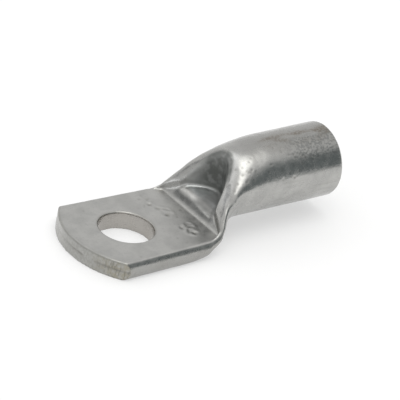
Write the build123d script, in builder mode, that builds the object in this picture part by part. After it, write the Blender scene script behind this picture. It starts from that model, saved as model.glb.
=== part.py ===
"""Tubular cable lug: one length of copper tube, pressed flat at one end into a drilled palm.

The origin is the centre of the bolt hole on the palm's underside. +X runs from the palm to the
open end of the barrel, and +Z is up, through the bolt hole.
"""
import os
from math import cos, radians, sin, sqrt, tan

from build123d import *

# Barrel: the round end that takes the cable
barrel_diameter = 14.0
barrel_wall = 2.0
barrel_lift = 2.26              # underside of the barrel above the underside of the palm
barrel_length = 14.0            # round stretch, from the end of the neck to the open end
mouth_edge_break = 0.35

# Palm: the flat end with the bolt hole
palm_thickness = 3.56
palm_width_at_fold = 19.6       # of the flat faces, without the bulge of the sides
palm_flare = 0.031              # growth of the half width for each millimetre forward of the fold
palm_side_bulge = 0.73          # the folded tube wall stands proud of the edges of the faces
palm_nose_radius = 15.8         # plan radius of the sheared front end
palm_reach = 11.7               # front end from the centre of the hole
fold_distance = 14.5            # fold line from the centre of the hole
curl_length = 2.5               # the side edges start to curl up this far before the fold
nose_edge_break = 0.25          # the shear draws the top edge down
seam_width = 0.2                # line where the two pressed walls of the tube meet
seam_depth = 0.15
bolt_hole_diameter = 10.5
hole_edge_break = 0.15

# Neck: the stretch where the tube opens from flat to round, measured back from the fold
neck_length = 15.1
neck_sections = 12
section_crowding = 1.4          # over 1 puts more sections near the fold, where the form changes fast
neck_width_at_fold = 19.7
squeeze_run = 5.4               # the width comes in to the barrel's over this distance
squeeze_power = 1.47
belly_run = 6.6                 # the underside rises to the barrel's over this distance
belly_angle_at_fold = 17.4      # half angle of the underside's arc
belly_angle_at_barrel = 95.0
belly_angle_run = 5.9
shoulder_delay = 2.3            # the round shoulders keep the palm's fold radius up to here
crown_angle_at_fold = -14.0     # half angle of the top's arc, hollow where it is negative
crown_angle_at_barrel = 60.0
crown_delay = 1.5
crown_run = 7.0

# Pocket: the imprint of the pressing tool in the top of the neck
pocket_depth = 6.35             # plan distance from the fold to its deepest point
pocket_half_width = 6.1         # of its rounded back wall, carried forward to the fold
pocket_offset = 0.5             # the tool did not meet the tube quite in the middle
mouth_width = 17.6              # of the tool's step at the fold
mouth_run = 1.4                 # the mouth narrows to the back wall over this distance
mouth_corner_radius = 1.5
step_run = 0.9                  # steep step straight behind the fold
step_height = 1.08
swell_run = 1.6                 # rounded rise behind the step
swell_height = 1.16
swell_bulge = 0.16
floor_slope = 0.113             # rise of the floor for each millimetre towards the back wall
hollow_start = 5.0              # the walls part this far behind the fold

barrel_radius = barrel_diameter / 2
barrel_axis_height = barrel_lift + barrel_radius
neck_end = fold_distance + neck_length
curl_start = fold_distance - curl_length
tool_height = barrel_lift + 2 * barrel_diameter


def ease(distance, run):
    """S-shaped share from 0 to 1 over the run."""
    share = min(max(distance / run, 0), 1)
    return share * share * (3 - 2 * share)


def ease_out(distance, run, power):
    """Share from 0 to 1 that starts fast and ends level."""
    share = min(max(distance / run, 0), 1)
    return 1 - (1 - share) ** power


def between(start, end, share):
    """Value at this share of the way."""
    return start + (end - start) * share


def neck_section(distance, inset=0):
    """The tube's outline behind the fold, or the outline that lies inset within it.

    It is a belly arc, two round shoulders and a crown arc, each tangent to the next. At the
    end of the neck they all lie on one circle.
    """
    squeeze = ease_out(distance, squeeze_run, squeeze_power)
    half_width = between(neck_width_at_fold / 2, barrel_radius, squeeze)
    growth = ease(distance - shoulder_delay, neck_length - shoulder_delay)
    shoulder = between(palm_thickness / 2, barrel_radius, growth)
    belly_share = ease_out(distance, belly_angle_run, 2)
    belly_angle = radians(between(belly_angle_at_fold, belly_angle_at_barrel, belly_share))
    crown_share = ease(distance - crown_delay, crown_run)
    crown_angle = radians(between(crown_angle_at_fold, crown_angle_at_barrel, crown_share))

    belly = barrel_lift * ease(distance, belly_run)
    side = half_width - shoulder
    height = belly + shoulder + side * tan(belly_angle / 2)
    crown = height + shoulder + side * tan(crown_angle / 2)
    middle_angle = (belly_angle - crown_angle) / 2

    radius = shoulder - inset
    low = (side + radius * sin(belly_angle), height - radius * cos(belly_angle))
    middle = (side + radius * cos(middle_angle), height + radius * sin(middle_angle))
    high = (side + radius * sin(crown_angle), height + radius * cos(crown_angle))
    arcs = [
        ThreePointArc((-low[0], low[1]), (0, belly + inset), low),
        ThreePointArc(low, middle, high),
        ThreePointArc(high, (0, crown - inset), (-high[0], high[1])),
        ThreePointArc((-high[0], high[1]), (-middle[0], middle[1]), (-low[0], low[1])),
    ]
    return Plane.YZ.offset(fold_distance + distance) * Face(Wire(arcs))


def neck_distances(first):
    """Places of the sections behind the fold, closer together towards the fold."""
    start = (first / neck_length) ** (1 / section_crowding)
    steps = [between(start, 1, index / neck_sections) for index in range(neck_sections + 1)]
    return [neck_length * step**section_crowding for step in steps]


def palm_half_width(station):
    """Half the width of the palm's flat faces, which flare a little towards the front."""
    return palm_width_at_fold / 2 + palm_flare * (fold_distance - station)


def side_fold(station):
    """The folded tube wall, where it stands proud of the palm's flat faces."""
    half = palm_half_width(station)
    with BuildLine(Plane.YZ.offset(station)) as outline:
        ThreePointArc((half, 0), (half + palm_side_bulge, palm_thickness / 2), (half, palm_thickness))
        Line((half, palm_thickness), (half, 0))
    return Face(outline.wire())


def palm_section(station):
    """The palm's whole outline: two flat faces joined by the folds."""
    half = palm_half_width(station)
    bulge = half + palm_side_bulge
    with BuildLine(Plane.YZ.offset(station)) as outline:
        Line((-half, 0), (half, 0))
        ThreePointArc((half, 0), (bulge, palm_thickness / 2), (half, palm_thickness))
        Line((half, palm_thickness), (-half, palm_thickness))
        ThreePointArc((-half, palm_thickness), (-bulge, palm_thickness / 2), (-half, 0))
    return Face(outline.wire())


with BuildPart() as nose:
    # Round sheared end: top edge drawn down, and the seam between the two pressed walls
    nose_centre = Location((palm_nose_radius - palm_reach, 0))
    with BuildSketch():
        with Locations(nose_centre):
            Circle(palm_nose_radius)
    extrude(amount=palm_thickness)
    chamfer(nose.edges().group_by(Axis.Z)[-1], nose_edge_break)
    with BuildSketch(Plane.XY.offset((palm_thickness - seam_width) / 2)):
        with Locations(nose_centre):
            Circle(palm_nose_radius)
            Circle(palm_nose_radius - seam_depth, mode=Mode.SUBTRACT)
    extrude(amount=seam_width, mode=Mode.SUBTRACT)
    with BuildSketch():
        with Locations(nose_centre):
            Rectangle(neck_end, 2 * palm_nose_radius, align=(Align.MIN, Align.CENTER))
    extrude(amount=palm_thickness)

with BuildPart() as pressing_tool:
    # The rounded back wall is a parabola in plan, and the mouth widens to the palm
    with BuildSketch() as plan:
        with BuildLine():
            Bezier(
                (fold_distance, pocket_offset + pocket_half_width),
                (fold_distance + 2 * pocket_depth, pocket_offset),
                (fold_distance, pocket_offset - pocket_half_width),
            )
            Line(
                (fold_distance, pocket_offset - pocket_half_width),
                (fold_distance, pocket_offset + pocket_half_width),
            )
        make_face()
        mouth_end = fold_distance + mouth_run
        throat = pocket_half_width * sqrt(1 - mouth_run / pocket_depth)
        entry = palm_half_width(curl_start)
        with BuildLine():
            Polyline(
                (curl_start, -entry),
                (fold_distance, -mouth_width / 2),
                (mouth_end, pocket_offset - throat),
                (mouth_end, pocket_offset + throat),
                (fold_distance, mouth_width / 2),
                (curl_start, entry),
                close=True,
            )
        make_face()
        corners = [(mouth_end, pocket_offset - throat), (mouth_end, pocket_offset + throat)]
        fillet([plan.vertices().sort_by_distance(corner)[0] for corner in corners], mouth_corner_radius)
    extrude(amount=tool_height)

    # Underneath, the tool follows the palm, steps up and rises along the floor
    with BuildSketch(Plane.XZ):
        step_end = (fold_distance + step_run, palm_thickness + step_height)
        swell_end = (step_end[0] + swell_run, step_end[1] + swell_height)
        tool_end = fold_distance + 2 * pocket_depth
        floor_end = (tool_end, swell_end[1] + floor_slope * (tool_end - swell_end[0]))
        with BuildLine():
            Polyline((curl_start, palm_thickness), (fold_distance, palm_thickness), step_end)
            SagittaArc(step_end, swell_end, swell_bulge)
            Polyline(
                swell_end,
                floor_end,
                (tool_end, tool_height),
                (curl_start, tool_height),
                (curl_start, palm_thickness),
            )
        make_face()
    extrude(amount=barrel_diameter, both=True, mode=Mode.INTERSECT)

with BuildPart() as hollow:
    # Inside of the tube: one wall thickness within the neck, closed in front by the pocket's wall
    loft([neck_section(distance, barrel_wall) for distance in neck_distances(hollow_start)])
    with BuildSketch(Plane.YZ.offset(neck_end)):
        with Locations((0, barrel_axis_height)):
            Circle(barrel_radius - barrel_wall)
    extrude(amount=barrel_length)
    wall_half_width = pocket_half_width + barrel_wall
    with BuildSketch():
        with BuildLine():
            Bezier(
                (fold_distance, pocket_offset + wall_half_width),
                (fold_distance + 2 * (pocket_depth + barrel_wall), pocket_offset),
                (fold_distance, pocket_offset - wall_half_width),
            )
            Line(
                (fold_distance, pocket_offset - wall_half_width),
                (fold_distance, pocket_offset + wall_half_width),
            )
        make_face()
    extrude(amount=tool_height, mode=Mode.SUBTRACT)

with BuildPart() as lug:
    # Palm: a longer blank with folded sides, cut to the round nose
    blank_front = -palm_reach - palm_thickness
    with BuildSketch():
        with BuildLine():
            Polyline(
                (blank_front, -palm_half_width(blank_front)),
                (curl_start, -palm_half_width(curl_start)),
                (curl_start, palm_half_width(curl_start)),
                (blank_front, palm_half_width(blank_front)),
                close=True,
            )
        make_face()
    extrude(amount=palm_thickness)
    loft([side_fold(blank_front), side_fold(curl_start)], ruled=True)
    mirror(about=Plane.XZ)
    add(nose.part, mode=Mode.INTERSECT)

    # Neck: the side edges curl up to the fold, then the flat oval opens to the full circle
    neck_outside = [neck_section(distance) for distance in neck_distances(0)]
    loft([palm_section(curl_start), neck_outside[0]], ruled=True)
    loft(neck_outside)

    # Barrel
    with BuildSketch(Plane.YZ.offset(neck_end)):
        with Locations((0, barrel_axis_height)):
            Circle(barrel_radius)
    extrude(amount=barrel_length)

    add(pressing_tool.part, mode=Mode.SUBTRACT)
    add(hollow.part, mode=Mode.SUBTRACT)
    chamfer(lug.faces().sort_by(Axis.X)[-1].edges(), mouth_edge_break)

    # Bolt hole, punched from above, which breaks its top edge
    with Locations((0, 0, palm_thickness)):
        Hole(bolt_hole_diameter / 2, depth=palm_thickness)
    hole_wall = lug.faces().filter_by(GeomType.CYLINDER).sort_by_distance((0, 0, 0))[0]
    chamfer(hole_wall.edges().filter_by(GeomType.CIRCLE).sort_by(Axis.Z)[-1], hole_edge_break)

lug.part.label = "cable_lug"
os.makedirs("parts", exist_ok=True)
export_step(lug.part, "parts/cable_lug.step")
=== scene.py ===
"""Looks of the tubular cable lug: electro-tinned copper with handling marks, in a white studio."""
import math

import bpy
import numpy as np
from mathutils import Matrix, Vector, noise
from mathutils.bvhtree import BVHTree
from mathutils.kdtree import KDTree


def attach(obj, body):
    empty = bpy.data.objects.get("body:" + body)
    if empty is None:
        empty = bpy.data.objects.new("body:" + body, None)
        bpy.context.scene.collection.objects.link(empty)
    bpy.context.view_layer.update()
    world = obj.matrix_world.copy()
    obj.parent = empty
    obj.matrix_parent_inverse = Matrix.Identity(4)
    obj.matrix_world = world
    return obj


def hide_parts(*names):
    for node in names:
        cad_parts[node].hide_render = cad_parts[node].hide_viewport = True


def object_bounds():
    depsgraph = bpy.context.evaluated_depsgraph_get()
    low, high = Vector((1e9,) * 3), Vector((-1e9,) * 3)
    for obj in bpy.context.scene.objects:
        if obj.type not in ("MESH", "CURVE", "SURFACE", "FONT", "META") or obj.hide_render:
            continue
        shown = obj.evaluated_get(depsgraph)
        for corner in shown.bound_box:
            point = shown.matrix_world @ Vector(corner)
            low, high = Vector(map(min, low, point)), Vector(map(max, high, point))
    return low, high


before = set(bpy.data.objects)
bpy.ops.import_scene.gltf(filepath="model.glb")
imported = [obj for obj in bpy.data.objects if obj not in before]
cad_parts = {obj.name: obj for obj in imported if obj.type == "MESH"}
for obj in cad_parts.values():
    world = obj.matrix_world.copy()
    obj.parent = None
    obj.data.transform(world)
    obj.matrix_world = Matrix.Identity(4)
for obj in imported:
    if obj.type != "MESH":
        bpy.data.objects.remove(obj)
cad_low, cad_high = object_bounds()

MM = 0.001

# Sizes of the lug that the marks follow, in millimetres
FOLD = 14.5
PALM_TOP = 3.56
NECK_END = 29.6
BARREL_AXIS = 9.26
BARREL_END = 43.6
BORE_RADIUS = 5.0
HOLE_RADIUS = 5.25
POCKET_DEPTH = 6.35
POCKET_HALF_WIDTH = 6.1
POCKET_OFFSET = 0.5
POCKET_FLOOR = 6.1
NOSE_RADIUS = 15.8
NOSE_CENTRE = 4.1
NOSE_REAR = -5

# Cell size of the fine skin, and rounds of smoothing for each part of it
VOXEL = 0.21
EDGE_ROUNDS = 2
FLANK_ROUNDS = 30
MOUTH_ROUNDS = 14
BEND_ROUNDS = 120

# Passes that roll the pocket's rim over: ball radius, start in x right and left, smoothing rounds
ROLL_PASSES = (
    (0.5, 14.5, 14.5, 3),
    (0.9, 15.0, 16.2, 4),
    (1.4, 16.0, 18.4, 12),
)

# The underside's outer corners, drawn up in a curve ahead of the neck
CORNER_X = FOLD - 1.8
CORNER_REACH = 5.5
CORNER_RISE = 0.85

# Waves left by handling, pressing and drawing: depth, grain and seed of each layer
GRAIN_SHIFT = 17.3
HANDLING_WAVES = ((0.005, 5.0, 1), (0.003, 1.6, 2))
NECK_WAVES = ((0.022, 2.2, 3), (0.014, 1.0, 4))
BARREL_WAVES = ((0.007, (9.0, 0.9, 0.9), 5), (0.005, 1.1, 6))
UPPER_SHEAR_WAVES = ((0.03, 0.5, 7),)
LOWER_SHEAR_WAVES = ((0.05, 0.6, 8),)
TORN_CORNER_WAVES = ((0.045, 0.6, 10),)

# The seam between the tube's two flattened walls, seen on the sheared nose
SEAM_HEIGHT = 1.78
SEAM_WIDTH = 0.22
SEAM_DEPTH = 0.12

# The pocket's swell behind the fold is crowned across
CROWN_CENTRE = 2.5
CROWN = 0.006

# Worn strokes on the palm, in clusters round these places
STROKE_CLUSTERS = ((8.7, 7.2), (8.6, 5.2), (10.4, 2.7), (10.6, 0.8), (10.6, -3.8), (10.8, -5.8))
STROKES_IN_CLUSTER = 6
STROKE_WIDTH = 0.34
STROKE_DEPTH = 0.12

PIT_COUNT = 110
PIT_RADIUS = 0.22
PIT_DEPTH = 0.05

FLOOR_DROP = 0.00002
PAPER_GREY = 0.55
PAPER_ROUGHNESS = 0.8
PAPER_GLOW = 0.42

# The room's brightness, and its round soft areas: azimuth, elevation, inner and outer angle, level
ROOM = (0.88, 0.88, 0.88)
SOFT_AREAS = (
    (-55, 18, 12, 44, (0.205, 0.23, 0.235)),
    (-105, 80, 6, 34, (2.8, 2.8, 2.75)),
    (118, 47, 4, 19, (2.0, 2.0, 2.0)),
    (134, 26, 3, 15, (0.33, 0.34, 0.35)),
)

rng = np.random.default_rng(11)


def new_camera():
    """Camera at the photograph's place: above and in front of the palm, rolled a little."""
    data = bpy.data.cameras.new("camera")
    data.lens = 388.3
    data.sensor_width = 36
    camera = bpy.data.objects.new("camera", data)
    bpy.context.collection.objects.link(camera)
    place = Matrix.Translation((-0.4447, -0.5064, 0.3905))
    turn = Matrix.Rotation(math.radians(-42.313), 4, "Z")
    tilt = Matrix.Rotation(math.radians(60.675), 4, "X")
    roll = Matrix.Rotation(math.radians(11.242), 4, "Z")
    camera.matrix_world = place @ turn @ tilt @ roll
    bpy.context.scene.camera = camera


def smooth_step(value, low, high):
    """Share from 0 below low to 1 above high."""
    share = np.clip((value - low) / (high - low), 0, 1)
    return share * share * (3 - 2 * share)


def fade(value, low, high):
    """Share from 1 below low to 0 above high."""
    return 1 - smooth_step(value, low, high)


def band(value, start, full, last, end):
    """Share that rises from start to full and falls again from last to end."""
    return smooth_step(value, start, full) * fade(value, last, end)


def line(value, centre, width):
    """Share that is 1 at the centre and dies away within about the width."""
    return np.exp(-((value - centre) / width) ** 2)


def apply_modifiers(piece):
    """Bakes the piece's modifiers into its mesh."""
    evaluated = piece.evaluated_get(bpy.context.evaluated_depsgraph_get())
    baked = bpy.data.meshes.new_from_object(evaluated)
    piece.modifiers.clear()
    piece.data = baked


def fine_skin(node):
    """The node's own form as an even fine mesh, in which small marks can be pressed."""
    skin = bpy.data.objects.new("tinned_lug", node.data.copy())
    bpy.context.collection.objects.link(skin)
    weld = skin.modifiers.new("weld", "WELD")
    weld.merge_threshold = 0.001 * MM
    remesh = skin.modifiers.new("remesh", "REMESH")
    remesh.mode = "VOXEL"
    remesh.voxel_size = VOXEL * MM
    apply_modifiers(skin)
    return skin


def points_of(piece):
    """The mesh's points in millimetres, one row each."""
    flat = np.empty(len(piece.data.vertices) * 3)
    piece.data.vertices.foreach_get("co", flat)
    return flat.reshape(-1, 3) / MM


def normals_of(piece):
    """The outward directions at the mesh's points."""
    flat = np.empty(len(piece.data.vertices) * 3)
    piece.data.vertex_normals.foreach_get("vector", flat)
    return flat.reshape(-1, 3)


def set_points(piece, points):
    """Moves the mesh's points to these places in millimetres."""
    piece.data.vertices.foreach_set("co", (points * MM).ravel())
    piece.data.update()


def soften(piece, weights, rounds):
    """Smooths the mesh where the weights are high."""
    group = piece.vertex_groups.new(name="soften")
    for index in np.nonzero(weights > 0.01)[0]:
        group.add([int(index)], float(weights[index]), "REPLACE")
    smooth = piece.modifiers.new("soften", "SMOOTH")
    smooth.factor = 0.5
    smooth.iterations = rounds
    smooth.vertex_group = "soften"
    apply_modifiers(piece)
    piece.vertex_groups.clear()


def wall_distance(points):
    """Distance in plan from the pocket's curved back wall, positive outside the pocket."""
    x, y, _ = points.T
    across = (y - POCKET_OFFSET) / POCKET_HALF_WIDTH
    wall_x = FOLD + POCKET_DEPTH * (1 - across**2)
    slope = 2 * POCKET_DEPTH * across / POCKET_HALF_WIDTH
    return (x - wall_x) / np.hypot(1, slope)


def rim_zone(points, right_start, left_start):
    """1 around the pocket's rim, where the tube wall rolls over into it, from start backwards."""
    x, y, z = points.T
    beside = fade(np.abs(wall_distance(points) - 1.2), 3.0, 4.2)
    start = right_start + (left_start - right_start) * smooth_step(y, 0, 3)
    return beside * smooth_step(z, 4.8, 5.8) * smooth_step(x, start, start + 1.8)


def left_flank(points):
    """1 where the tool's rounded flank drew the tube wall down into the pocket's left side."""
    _, y, z = points.T
    beside = fade(np.abs(wall_distance(points) + 0.1), 0.7, 1.5)
    return beside * smooth_step(y, 0.5, 2.5) * smooth_step(z, POCKET_FLOOR + 0.3, POCKET_FLOOR + 1.2)


def mouth_corners(points):
    """1 at the thin ends of the pocket's two sides, where they run out at the fold."""
    x, y, z = points.T
    beside = band(np.abs(y), 4.6, 5.6, 8.4, 9.2)
    return beside * band(x, FOLD + 0.2, FOLD + 0.8, FOLD + 2.5, FOLD + 4) * (z > 4.4)


def under_bend(points):
    """1 on the underside where the flat palm turns up into the neck."""
    x, _, z = points.T
    return band(x, FOLD - 3, FOLD - 1.5, FOLD + 3.5, FOLD + 5) * fade(z, 2.2, 3.2)


def drawn_up(points):
    """How far the underside's outer corners are drawn up in millimetres, ahead of the neck."""
    x, y, z = points.T
    near = np.clip(1 - np.abs(x - CORNER_X) / CORNER_REACH, 0, 1) ** 2
    return CORNER_RISE * near * smooth_step(np.abs(y), 4, 9) * fade(z, 0.3, 3.3)


def bore_side(piece, points):
    """Marks the points inside the tube, found by walking in from the open end."""
    neighbours = [[] for _ in points]
    for edge in piece.data.edges:
        first, second = edge.vertices
        neighbours[first].append(second)
        neighbours[second].append(first)
    inner = np.zeros(len(points), bool)
    deep = (BARREL_END - 4, 0, BARREL_AXIS + BORE_RADIUS)
    start = int(np.argmin(np.linalg.norm(points - deep, axis=1)))
    waiting = [start]
    inner[start] = True
    while waiting:
        for other in neighbours[waiting.pop()]:
            if not inner[other] and points[other][0] < BARREL_END - 0.5:
                inner[other] = True
                waiting.append(other)
    return inner


def roll_over(piece, inner, zone, radius):
    """Rounds the outside's edges in the zone, where a ball of this radius rolls within them."""
    points = points_of(piece)
    centres = points - radius * normals_of(piece)
    faces = [tuple(face.vertices) for face in piece.data.polygons if not inner[face.vertices[0]]]
    surface = BVHTree.FromPolygons([tuple(point) for point in points], faces)
    held = [int(index) for index in np.nonzero((zone > 0) & ~inner)[0]
            if surface.find_nearest(centres[index])[3] > 0.96 * radius]
    balls = KDTree(len(held))
    for index in held:
        balls.insert(centres[index], index)
    balls.balance()
    for index in np.nonzero((zone > 0.02) & ~inner)[0]:
        centre, _, distance = balls.find(points[index])
        if distance > 1.01 * radius:
            away = (points[index] - np.array(centre)) / distance
            rolled = np.array(centre) + radius * away
            points[index] += (rolled - points[index]) * zone[index]
    set_points(piece, points)


def rounded_lug(node):
    """The node's skin with its edges rounded, and which of its points lie inside the tube."""
    skin = fine_skin(node)
    soften(skin, np.ones(len(skin.data.vertices)), EDGE_ROUNDS)
    inner = bore_side(skin, points_of(skin))
    for radius, right_start, left_start, rounds in ROLL_PASSES:
        zone = rim_zone(points_of(skin), right_start, left_start)
        roll_over(skin, inner, zone, radius)
        soften(skin, zone * ~inner, rounds)
    soften(skin, left_flank(points_of(skin)) * ~inner, FLANK_ROUNDS)
    soften(skin, mouth_corners(points_of(skin)) * ~inner, MOUTH_ROUNDS)
    form = points_of(skin)
    form[:, 2] += drawn_up(form) * ~inner
    set_points(skin, form)
    soften(skin, under_bend(form) * ~inner, BEND_ROUNDS)
    return skin, inner


def grain(points, size, seed):
    """Smooth noise from about -1 to 1 at the points, with grains of this size in millimetres."""
    places = points / np.array(size) + GRAIN_SHIFT * seed
    return np.array([noise.noise(Vector(place)) for place in places])


def waves(points, layers):
    """Sum of layers of noise, each given by its depth, grain and seed."""
    return sum(depth * grain(points, size, seed) for depth, size, seed in layers)


def near_strokes(points, strokes, width):
    """Depth share of worn strokes cut in the palm's top, with a faint raised lip round each."""
    cut = np.zeros(len(points))
    top = (points[:, 2] > PALM_TOP - 0.3) & (points[:, 0] < FOLD - 0.6)
    rows = np.nonzero(top)[0]
    plan = points[rows, :2]
    for start, end, strength in strokes:
        along = end - start
        share = np.clip((plan - start) @ along / (along @ along), 0, 1)
        distance = np.linalg.norm(plan - start - share[:, None] * along, axis=1)
        lip = 0.35 * line(distance, 2.1 * width, width)
        cut[rows] += strength * (line(distance, 0, width) - lip)
    return cut


def worn_strokes(centres):
    """Short random strokes in a cluster round each centre on the palm, worn past reading."""
    strokes = []
    for centre in centres:
        for _ in range(STROKES_IN_CLUSTER):
            start = np.array(centre) + rng.uniform((-1.0, -0.7), (0.8, 0.7))
            turn = rng.uniform(0, math.pi)
            length = rng.uniform(0.1, 0.7)
            end = start + length * np.array((math.cos(turn), math.sin(turn)))
            strokes.append((start, end, rng.uniform(0.2, 0.9)))
    return strokes


def pits(points, weights):
    """Depth of small round pits at random points, likelier where the weights are high."""
    tree = KDTree(len(points))
    for index, point in enumerate(points):
        tree.insert(point, index)
    tree.balance()
    sunk = np.zeros(len(points))
    for place in rng.choice(len(points), PIT_COUNT, replace=False, p=weights / weights.sum()):
        size = PIT_RADIUS * rng.uniform(0.7, 1.3)
        strength = PIT_DEPTH * rng.uniform(0.4, 1.0)
        for _, index, distance in tree.find_range(points[place], 2.2 * size):
            sunk[index] = max(sunk[index], strength * line(distance, 0, size))
    return sunk


def add_mask(piece, name, values):
    """Stores a mask on the mesh for the material."""
    layer = piece.data.attributes.new(name, "FLOAT", "POINT")
    layer.data.foreach_set("value", np.clip(values, 0, 1).astype(np.float32))


new_camera()

skin, bore = rounded_lug(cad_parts["cable_lug"])
points = points_of(skin)
normals = normals_of(skin)
x, y, z = points.T
wall = wall_distance(points)
outside = ~bore * 1.0

# Regions of the lug
palm = fade(x, FOLD - 0.5, FOLD + 1.5)
barrel = smooth_step(x, NECK_END - 4, NECK_END)
neck = (1 - palm) * (1 - barrel)
upward = smooth_step(normals[:, 2], 0.2, 0.8)

# The sheared nose and the punched hole
from_hole = np.hypot(x, y)
from_nose = np.hypot(x - NOSE_CENTRE, y)
shear = smooth_step(from_nose, NOSE_RADIUS - 0.35, NOSE_RADIUS - 0.15) * (x < NOSE_REAR)
shear *= fade(np.abs(normals[:, 2]), 0.5, 0.8)
# The cut edges get painted shade that dims their rim highlights
nose_edge = line(from_nose, NOSE_RADIUS - 0.12, 0.22) * (x < NOSE_REAR) * (z > PALM_TOP - 0.4)
hole_edge = line(from_hole, HOLE_RADIUS + 0.1, 0.2) * (z > PALM_TOP - 0.35)

# The pocket: its back wall, floor, swell and the line at the wall's foot; the tin gets painted shade
# on the wall, the foot, the riser and the swell, and painted light on the floor
inside_pocket = fade(wall, -0.4, 0.4) * outside
back_wall_painted_shade = fade(np.abs(wall), 0.5, 1.1) * outside
back_wall_painted_shade *= smooth_step(z, POCKET_FLOOR, POCKET_FLOOR + 0.6) * (1 - 0.2 * smooth_step(z, 11, 14))
back_wall_painted_shade *= (1 - 0.75 * smooth_step(y, 2.9, 5.3)) * smooth_step(y, -4.5, -2.5)
foot_painted_shade = fade(np.abs(wall + 0.3), 0.4, 1.0) * fade(z, POCKET_FLOOR + 0.6, POCKET_FLOOR + 1.4)
foot_painted_shade *= (x > FOLD + 1.5) * outside
swell = band(x, FOLD + 0.8, FOLD + 1.4, FOLD + 2.5, FOLD + 3.5) * fade(wall, -1.2, -0.3)
swell *= (np.abs(y) < 8) * outside
swell_right_painted_shade = inside_pocket * smooth_step(x, FOLD + 1.0, FOLD + 1.6) * smooth_step(-y, -2.2, 0.4)
riser_painted_shade = band(x, FOLD + 0.2, FOLD + 0.6, FOLD + 1.0, FOLD + 1.9) * fade(wall, -0.5, 0.2) * outside

# The tube wall beside the pocket, given painted light at the left end and on the right rim
left_end_painted_light = fade(np.abs(wall), 1.2, 2.2) * smooth_step(y, 4.2, 5.4) * fade(normals[:, 2], 0.3, 0.6)
left_end_painted_light *= band(z, PALM_TOP + 0.2, PALM_TOP + 0.7, 5.8, 8.8) * outside
right_rim_painted_light = band(wall, 0.2, 0.8, 1.1, 2.1) * smooth_step(-y, 0.0, 1.6) * smooth_step(z, 7.0, 9.0)
right_rim_painted_light *= outside

# Marks pressed into the surface
lift = waves(points, HANDLING_WAVES) + neck * waves(points, NECK_WAVES)
lift += barrel * waves(points, BARREL_WAVES)
lift *= outside

arc = NOSE_RADIUS * np.arctan2(y, NOSE_CENTRE - x)
nose_plan = np.column_stack((arc, z / 6, np.zeros(len(z))))
above_seam = smooth_step(z, SEAM_HEIGHT, SEAM_HEIGHT + 0.3)
seam = shear * line(z, SEAM_HEIGHT, SEAM_WIDTH) * smooth_step(grain(nose_plan, 3.0, 11), -0.5, 0.2)
lift += shear * above_seam * waves(nose_plan, UPPER_SHEAR_WAVES)
lift += shear * (1 - above_seam) * waves(points, LOWER_SHEAR_WAVES)
lift += shear * smooth_step(-y, 2, 8) * waves(nose_plan, TORN_CORNER_WAVES)
lift -= SEAM_DEPTH * seam

lift -= swell * CROWN * (y - CROWN_CENTRE) ** 2

stamp = near_strokes(points, worn_strokes(STROKE_CLUSTERS), STROKE_WIDTH)
lift -= STROKE_DEPTH * stamp

neck_side = smooth_step(-y, 1.5, 3.5) * (x > FOLD + 4)
pitted = pits(points, outside * upward * (0.15 + barrel + 2 * neck_side))
lift -= pitted
marked = points + normals * lift[:, None]
set_points(skin, np.clip(marked, np.array(cad_low) / MM, np.array(cad_high) / MM))
skin.data.shade_smooth()

# Wear and stains of the tin, and painted shade on the tops of the neck and barrel and on the palm's
# sides
stain = barrel * smooth_step(normals[:, 2], 0.85, 0.99) * fade(np.abs(y + 1.4), 0.8, 3.1)
stain *= smooth_step(grain(points, (3.5, 1.2, 1.2), 9), -0.3, 0.5)
# Painted shade: the upward tops of the neck and barrel are darkened, and so are the palm's sides
tops_painted_shade = smooth_step(normals[:, 2], 0.7, 0.98) * smooth_step(x, FOLD + 3, FOLD + 6)
tops_painted_shade *= smooth_step(wall, 2.0, 4.0)
sides_painted_shade = palm * (1 - upward) * (1 - shear)
worn = barrel * smooth_step(x, 29, 36) * band(-normals[:, 1], 0.05, 0.35, 0.7, 0.9) * upward

masks = {
    "palm_top": palm * upward * outside,
    "bore": bore * 1.0,
    "fold_painted_shade": line(x, FOLD + 0.1, 0.3) * (z > PALM_TOP - 0.2),
    "shear": shear * (0.4 + 0.6 * smooth_step(-y, -6, 2)),
    "shear_tint": shear * smooth_step(-y, 3, 10),
    "seam": seam * smooth_step(-y, -8, 4),
    "cut_edge_painted_shade": np.maximum(nose_edge, hole_edge),
    "hole_wall": fade(from_hole, HOLE_RADIUS + 0.02, HOLE_RADIUS + 0.12),
    "back_wall_painted_shade": back_wall_painted_shade,
    "foot_painted_shade": foot_painted_shade,
    "pocket_floor_painted_light": inside_pocket * smooth_step(x, FOLD + 2.0, FOLD + 2.8),
    "swell": swell,
    "swell_right_painted_shade": swell_right_painted_shade,
    "riser_painted_shade": riser_painted_shade,
    "left_end_painted_light": left_end_painted_light,
    "right_rim_painted_light": right_rim_painted_light,
    "stain": stain,
    "painted_shade_tops_sides": np.maximum(tops_painted_shade, sides_painted_shade) * outside,
    "worn": worn * outside,
    "pitted": pitted / PIT_DEPTH,
    "stamp": stamp,
    "barrel": barrel * outside,
}
for mask_name, mask_values in masks.items():
    add_mask(skin, mask_name, mask_values)

# Material: low-gloss tin, mottled, with stains, painted shade and painted light in and beside the
# pocket, and a bare sheared end
tin = bpy.data.materials.new("tin")
tin.use_nodes = True
tree = tin.node_tree
shader = tree.nodes["Principled BSDF"]
place = tree.nodes.new("ShaderNodeTexCoord")


def mottle(size, stretch=(1, 1, 1), detail=2.0):
    """Noise from 0 to 1 whose grains have this size in millimetres."""
    scale = tree.nodes.new("ShaderNodeMapping")
    scale.inputs["Scale"].default_value = [1 / (size * MM * share) for share in stretch]
    tree.links.new(place.outputs["Object"], scale.inputs["Vector"])
    node = tree.nodes.new("ShaderNodeTexNoise")
    node.inputs["Scale"].default_value = 1
    node.inputs["Detail"].default_value = detail
    tree.links.new(scale.outputs["Vector"], node.inputs["Vector"])
    return node.outputs["Fac"]


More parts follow.
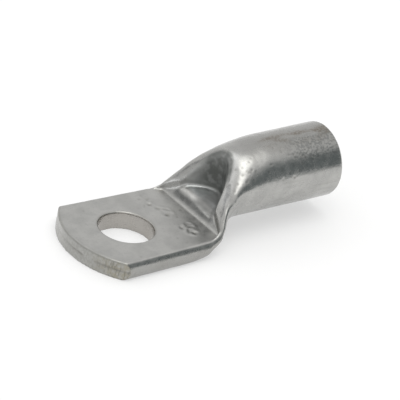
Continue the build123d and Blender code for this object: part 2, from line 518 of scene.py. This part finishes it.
def maths(operation, first, second):
    """One sum, product or other operation on two values."""
    node = tree.nodes.new("ShaderNodeMath")
    node.operation = operation
    for socket, value in zip(node.inputs, (first, second)):
        if isinstance(value, (int, float)):
            socket.default_value = value
        else:
            tree.links.new(value, socket)
    return node.outputs["Value"]


def masked(name, share):
    """The mask of this name times the share."""
    node = tree.nodes.new("ShaderNodeAttribute")
    node.attribute_name = name
    return maths("MULTIPLY", node.outputs["Fac"], share)


def remap(value, low, high, new_low=0.0, new_high=1.0):
    """Spreads the range low to high over another range."""
    node = tree.nodes.new("ShaderNodeMapRange")
    node.interpolation_type = "SMOOTHSTEP"
    node.inputs["From Min"].default_value = low
    node.inputs["From Max"].default_value = high
    node.inputs["To Min"].default_value = new_low
    node.inputs["To Max"].default_value = new_high
    tree.links.new(value, node.inputs["Value"])
    return node.outputs["Result"]


def mixed(node_tree, base, share, colour):
    """Mixes a colour into the base by the share."""
    node = node_tree.nodes.new("ShaderNodeMix")
    node.data_type = "RGBA"
    node_tree.links.new(share, node.inputs["Factor"])
    if isinstance(base, tuple):
        node.inputs["A"].default_value = (*base, 1)
    else:
        node_tree.links.new(base, node.inputs["A"])
    node.inputs["B"].default_value = (*colour, 1)
    return node.outputs["Result"]


cloud = mottle(3.5, detail=3)
speckle = mottle(0.45)
streak = mottle(0.5, stretch=(14, 1, 1))
fine_speckle = mottle(0.42, detail=3)
scratches = mottle(0.4, stretch=(1, 1, 2.5))

tints = (
    (remap(cloud, 0.35, 0.65), (0.450, 0.447, 0.431)),
    (remap(speckle, 0.56, 0.72, 0, 0.35), (0.30, 0.30, 0.295)),
    (masked("barrel", remap(streak, 0.52, 0.70, 0, 0.3)), (0.30, 0.295, 0.28)),
    # Painted shade, mottled, on the tops of the neck and barrel and on the palm's sides
    (masked("painted_shade_tops_sides", remap(cloud, 0.3, 0.7, 0.3, 0.75)), (0.30, 0.295, 0.28)),
    (masked("stain", remap(speckle, 0.35, 0.6, 0.3, 0.95)), (0.20, 0.178, 0.15)),
    (masked("worn", remap(fine_speckle, 0.44, 0.6, 0.15, 0.75)), (0.19, 0.195, 0.19)),
    # Painted light on the pocket's floor
    (masked("pocket_floor_painted_light", 0.7), (0.60, 0.625, 0.635)),
    # Painted shade that dims the swell's highlight
    (masked("swell", 0.15), (0.25, 0.25, 0.245)),
    # Painted shade on the bend's right part, taking away its highlight
    (masked("swell_right_painted_shade", 0.75), (0.20, 0.20, 0.195)),
    # Painted shade along the fold line, dimming its edge highlight
    (masked("fold_painted_shade", 0.3), (0.24, 0.24, 0.23)),
    # Painted shade: a dark band on the riser behind the fold
    (masked("riser_painted_shade", 0.7), (0.155, 0.158, 0.152)),
    # Painted light on the ridge right of the pocket
    (masked("right_rim_painted_light", 0.8), (0.66, 0.66, 0.645)),
    # Painted light on the side-facing left end of the pocket's side
    (masked("left_end_painted_light", 0.85), (0.66, 0.665, 0.66)),
    # Painted shade, mottled, on the pocket's back wall
    (masked("back_wall_painted_shade", remap(mottle(1.3), 0.3, 0.6, 0.65, 0.95)), (0.135, 0.142, 0.135)),
    # Painted shade in the crease at the back wall's foot
    (masked("foot_painted_shade", 0.4), (0.16, 0.165, 0.155)),
    (masked("shear", remap(speckle, 0.4, 0.6, 0.3, 0.9)), (0.325, 0.323, 0.305)),
    (masked("shear_tint", remap(mottle(0.8), 0.4, 0.6, 0.2, 0.8)), (0.33, 0.31, 0.25)),
    (masked("shear_tint", remap(scratches, 0.48, 0.66, 0, 0.6)), (0.18, 0.175, 0.15)),
    # Painted shade on the top edges of the nose and the hole, dimming their highlights
    (masked("cut_edge_painted_shade", 0.5), (0.24, 0.24, 0.22)),
    (masked("seam", 0.6), (0.17, 0.165, 0.15)),
    (masked("hole_wall", 0.6), (0.44, 0.415, 0.385)),
    (masked("pitted", 0.55), (0.18, 0.175, 0.16)),
    (masked("stamp", 0.55), (0.22, 0.215, 0.19)),
    (masked("bore", 1.0), (0.50, 0.48, 0.45)),
)
tone = (0.395, 0.393, 0.380)
for tint_share, tint in tints:
    tone = mixed(tree, tone, tint_share, tint)
tree.links.new(tone, shader.inputs["Base Color"])
shader.inputs["Metallic"].default_value = 1

rough = remap(mottle(1.2, detail=3), 0.35, 0.65, 0.19, 0.28)
roughening = {
    "palm_top": 0.13,
    "pocket_floor_painted_light": 0.12,
    "swell": 0.1,
    "swell_right_painted_shade": 0.22,
    "fold_painted_shade": 0.15,
    "shear": 0.15,
    "back_wall_painted_shade": 0.2,
    "bore": 0.25,
}
for mask_name, rise in roughening.items():
    rough = maths("ADD", rough, masked(mask_name, rise))
tree.links.new(rough, shader.inputs["Roughness"])

bump = tree.nodes.new("ShaderNodeBump")
bump.inputs["Distance"].default_value = 0.006 * MM
bump.inputs["Strength"].default_value = 1
relief = maths("ADD", mottle(0.35), masked("barrel", streak))
tree.links.new(relief, bump.inputs["Height"])
tree.links.new(bump.outputs["Normal"], shader.inputs["Normal"])

skin.data.materials.clear()
skin.data.materials.append(tin)

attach(skin, "root")
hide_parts("cable_lug")

# Floor: a light table of white paper
bpy.ops.mesh.primitive_plane_add(size=6, location=(0, 0, -FLOOR_DROP))
floor = bpy.context.object
floor.name = "floor"
paper = bpy.data.materials.new("paper")
paper.use_nodes = True
paper_shader = paper.node_tree.nodes["Principled BSDF"]
paper_shader.inputs["Base Color"].default_value = (PAPER_GREY, PAPER_GREY, PAPER_GREY, 1)
paper_shader.inputs["Roughness"].default_value = PAPER_ROUGHNESS
paper_shader.inputs["Emission Color"].default_value = (1, 1, 1, 1)
paper_shader.inputs["Emission Strength"].default_value = PAPER_GLOW
floor.data.materials.append(paper)

# Surroundings: a bright room with soft lamps above and darker stretches beside them
world = bpy.data.worlds.new("studio")
bpy.context.scene.world = world
world.use_nodes = True
sky_tree = world.node_tree
direction = sky_tree.nodes.new("ShaderNodeTexCoord")


def soft_area(base, azimuth, elevation, inner, outer, level):
    """Mixes a round soft area of this brightness into the surroundings, angles in degrees."""
    turn = math.radians(azimuth)
    rise = math.radians(elevation)
    axis = Vector((math.cos(rise) * math.cos(turn), math.cos(rise) * math.sin(turn), math.sin(rise)))
    dot = sky_tree.nodes.new("ShaderNodeVectorMath")
    dot.operation = "DOT_PRODUCT"
    sky_tree.links.new(direction.outputs["Generated"], dot.inputs[0])
    dot.inputs[1].default_value = axis
    angle = sky_tree.nodes.new("ShaderNodeMath")
    angle.operation = "ARCCOSINE"
    sky_tree.links.new(dot.outputs["Value"], angle.inputs[0])
    edge = sky_tree.nodes.new("ShaderNodeMapRange")
    edge.interpolation_type = "SMOOTHSTEP"
    edge.inputs["From Min"].default_value = math.radians(outer)
    edge.inputs["From Max"].default_value = math.radians(inner)
    sky_tree.links.new(angle.outputs["Value"], edge.inputs["Value"])
    return mixed(sky_tree, base, edge.outputs["Result"], level)


sky = ROOM
for area in SOFT_AREAS:
    sky = soft_area(sky, *area)
background = sky_tree.nodes["Background"]
sky_tree.links.new(sky, background.inputs["Color"])
background.inputs["Strength"].default_value = 1

bpy.context.scene.view_settings.view_transform = "Standard"
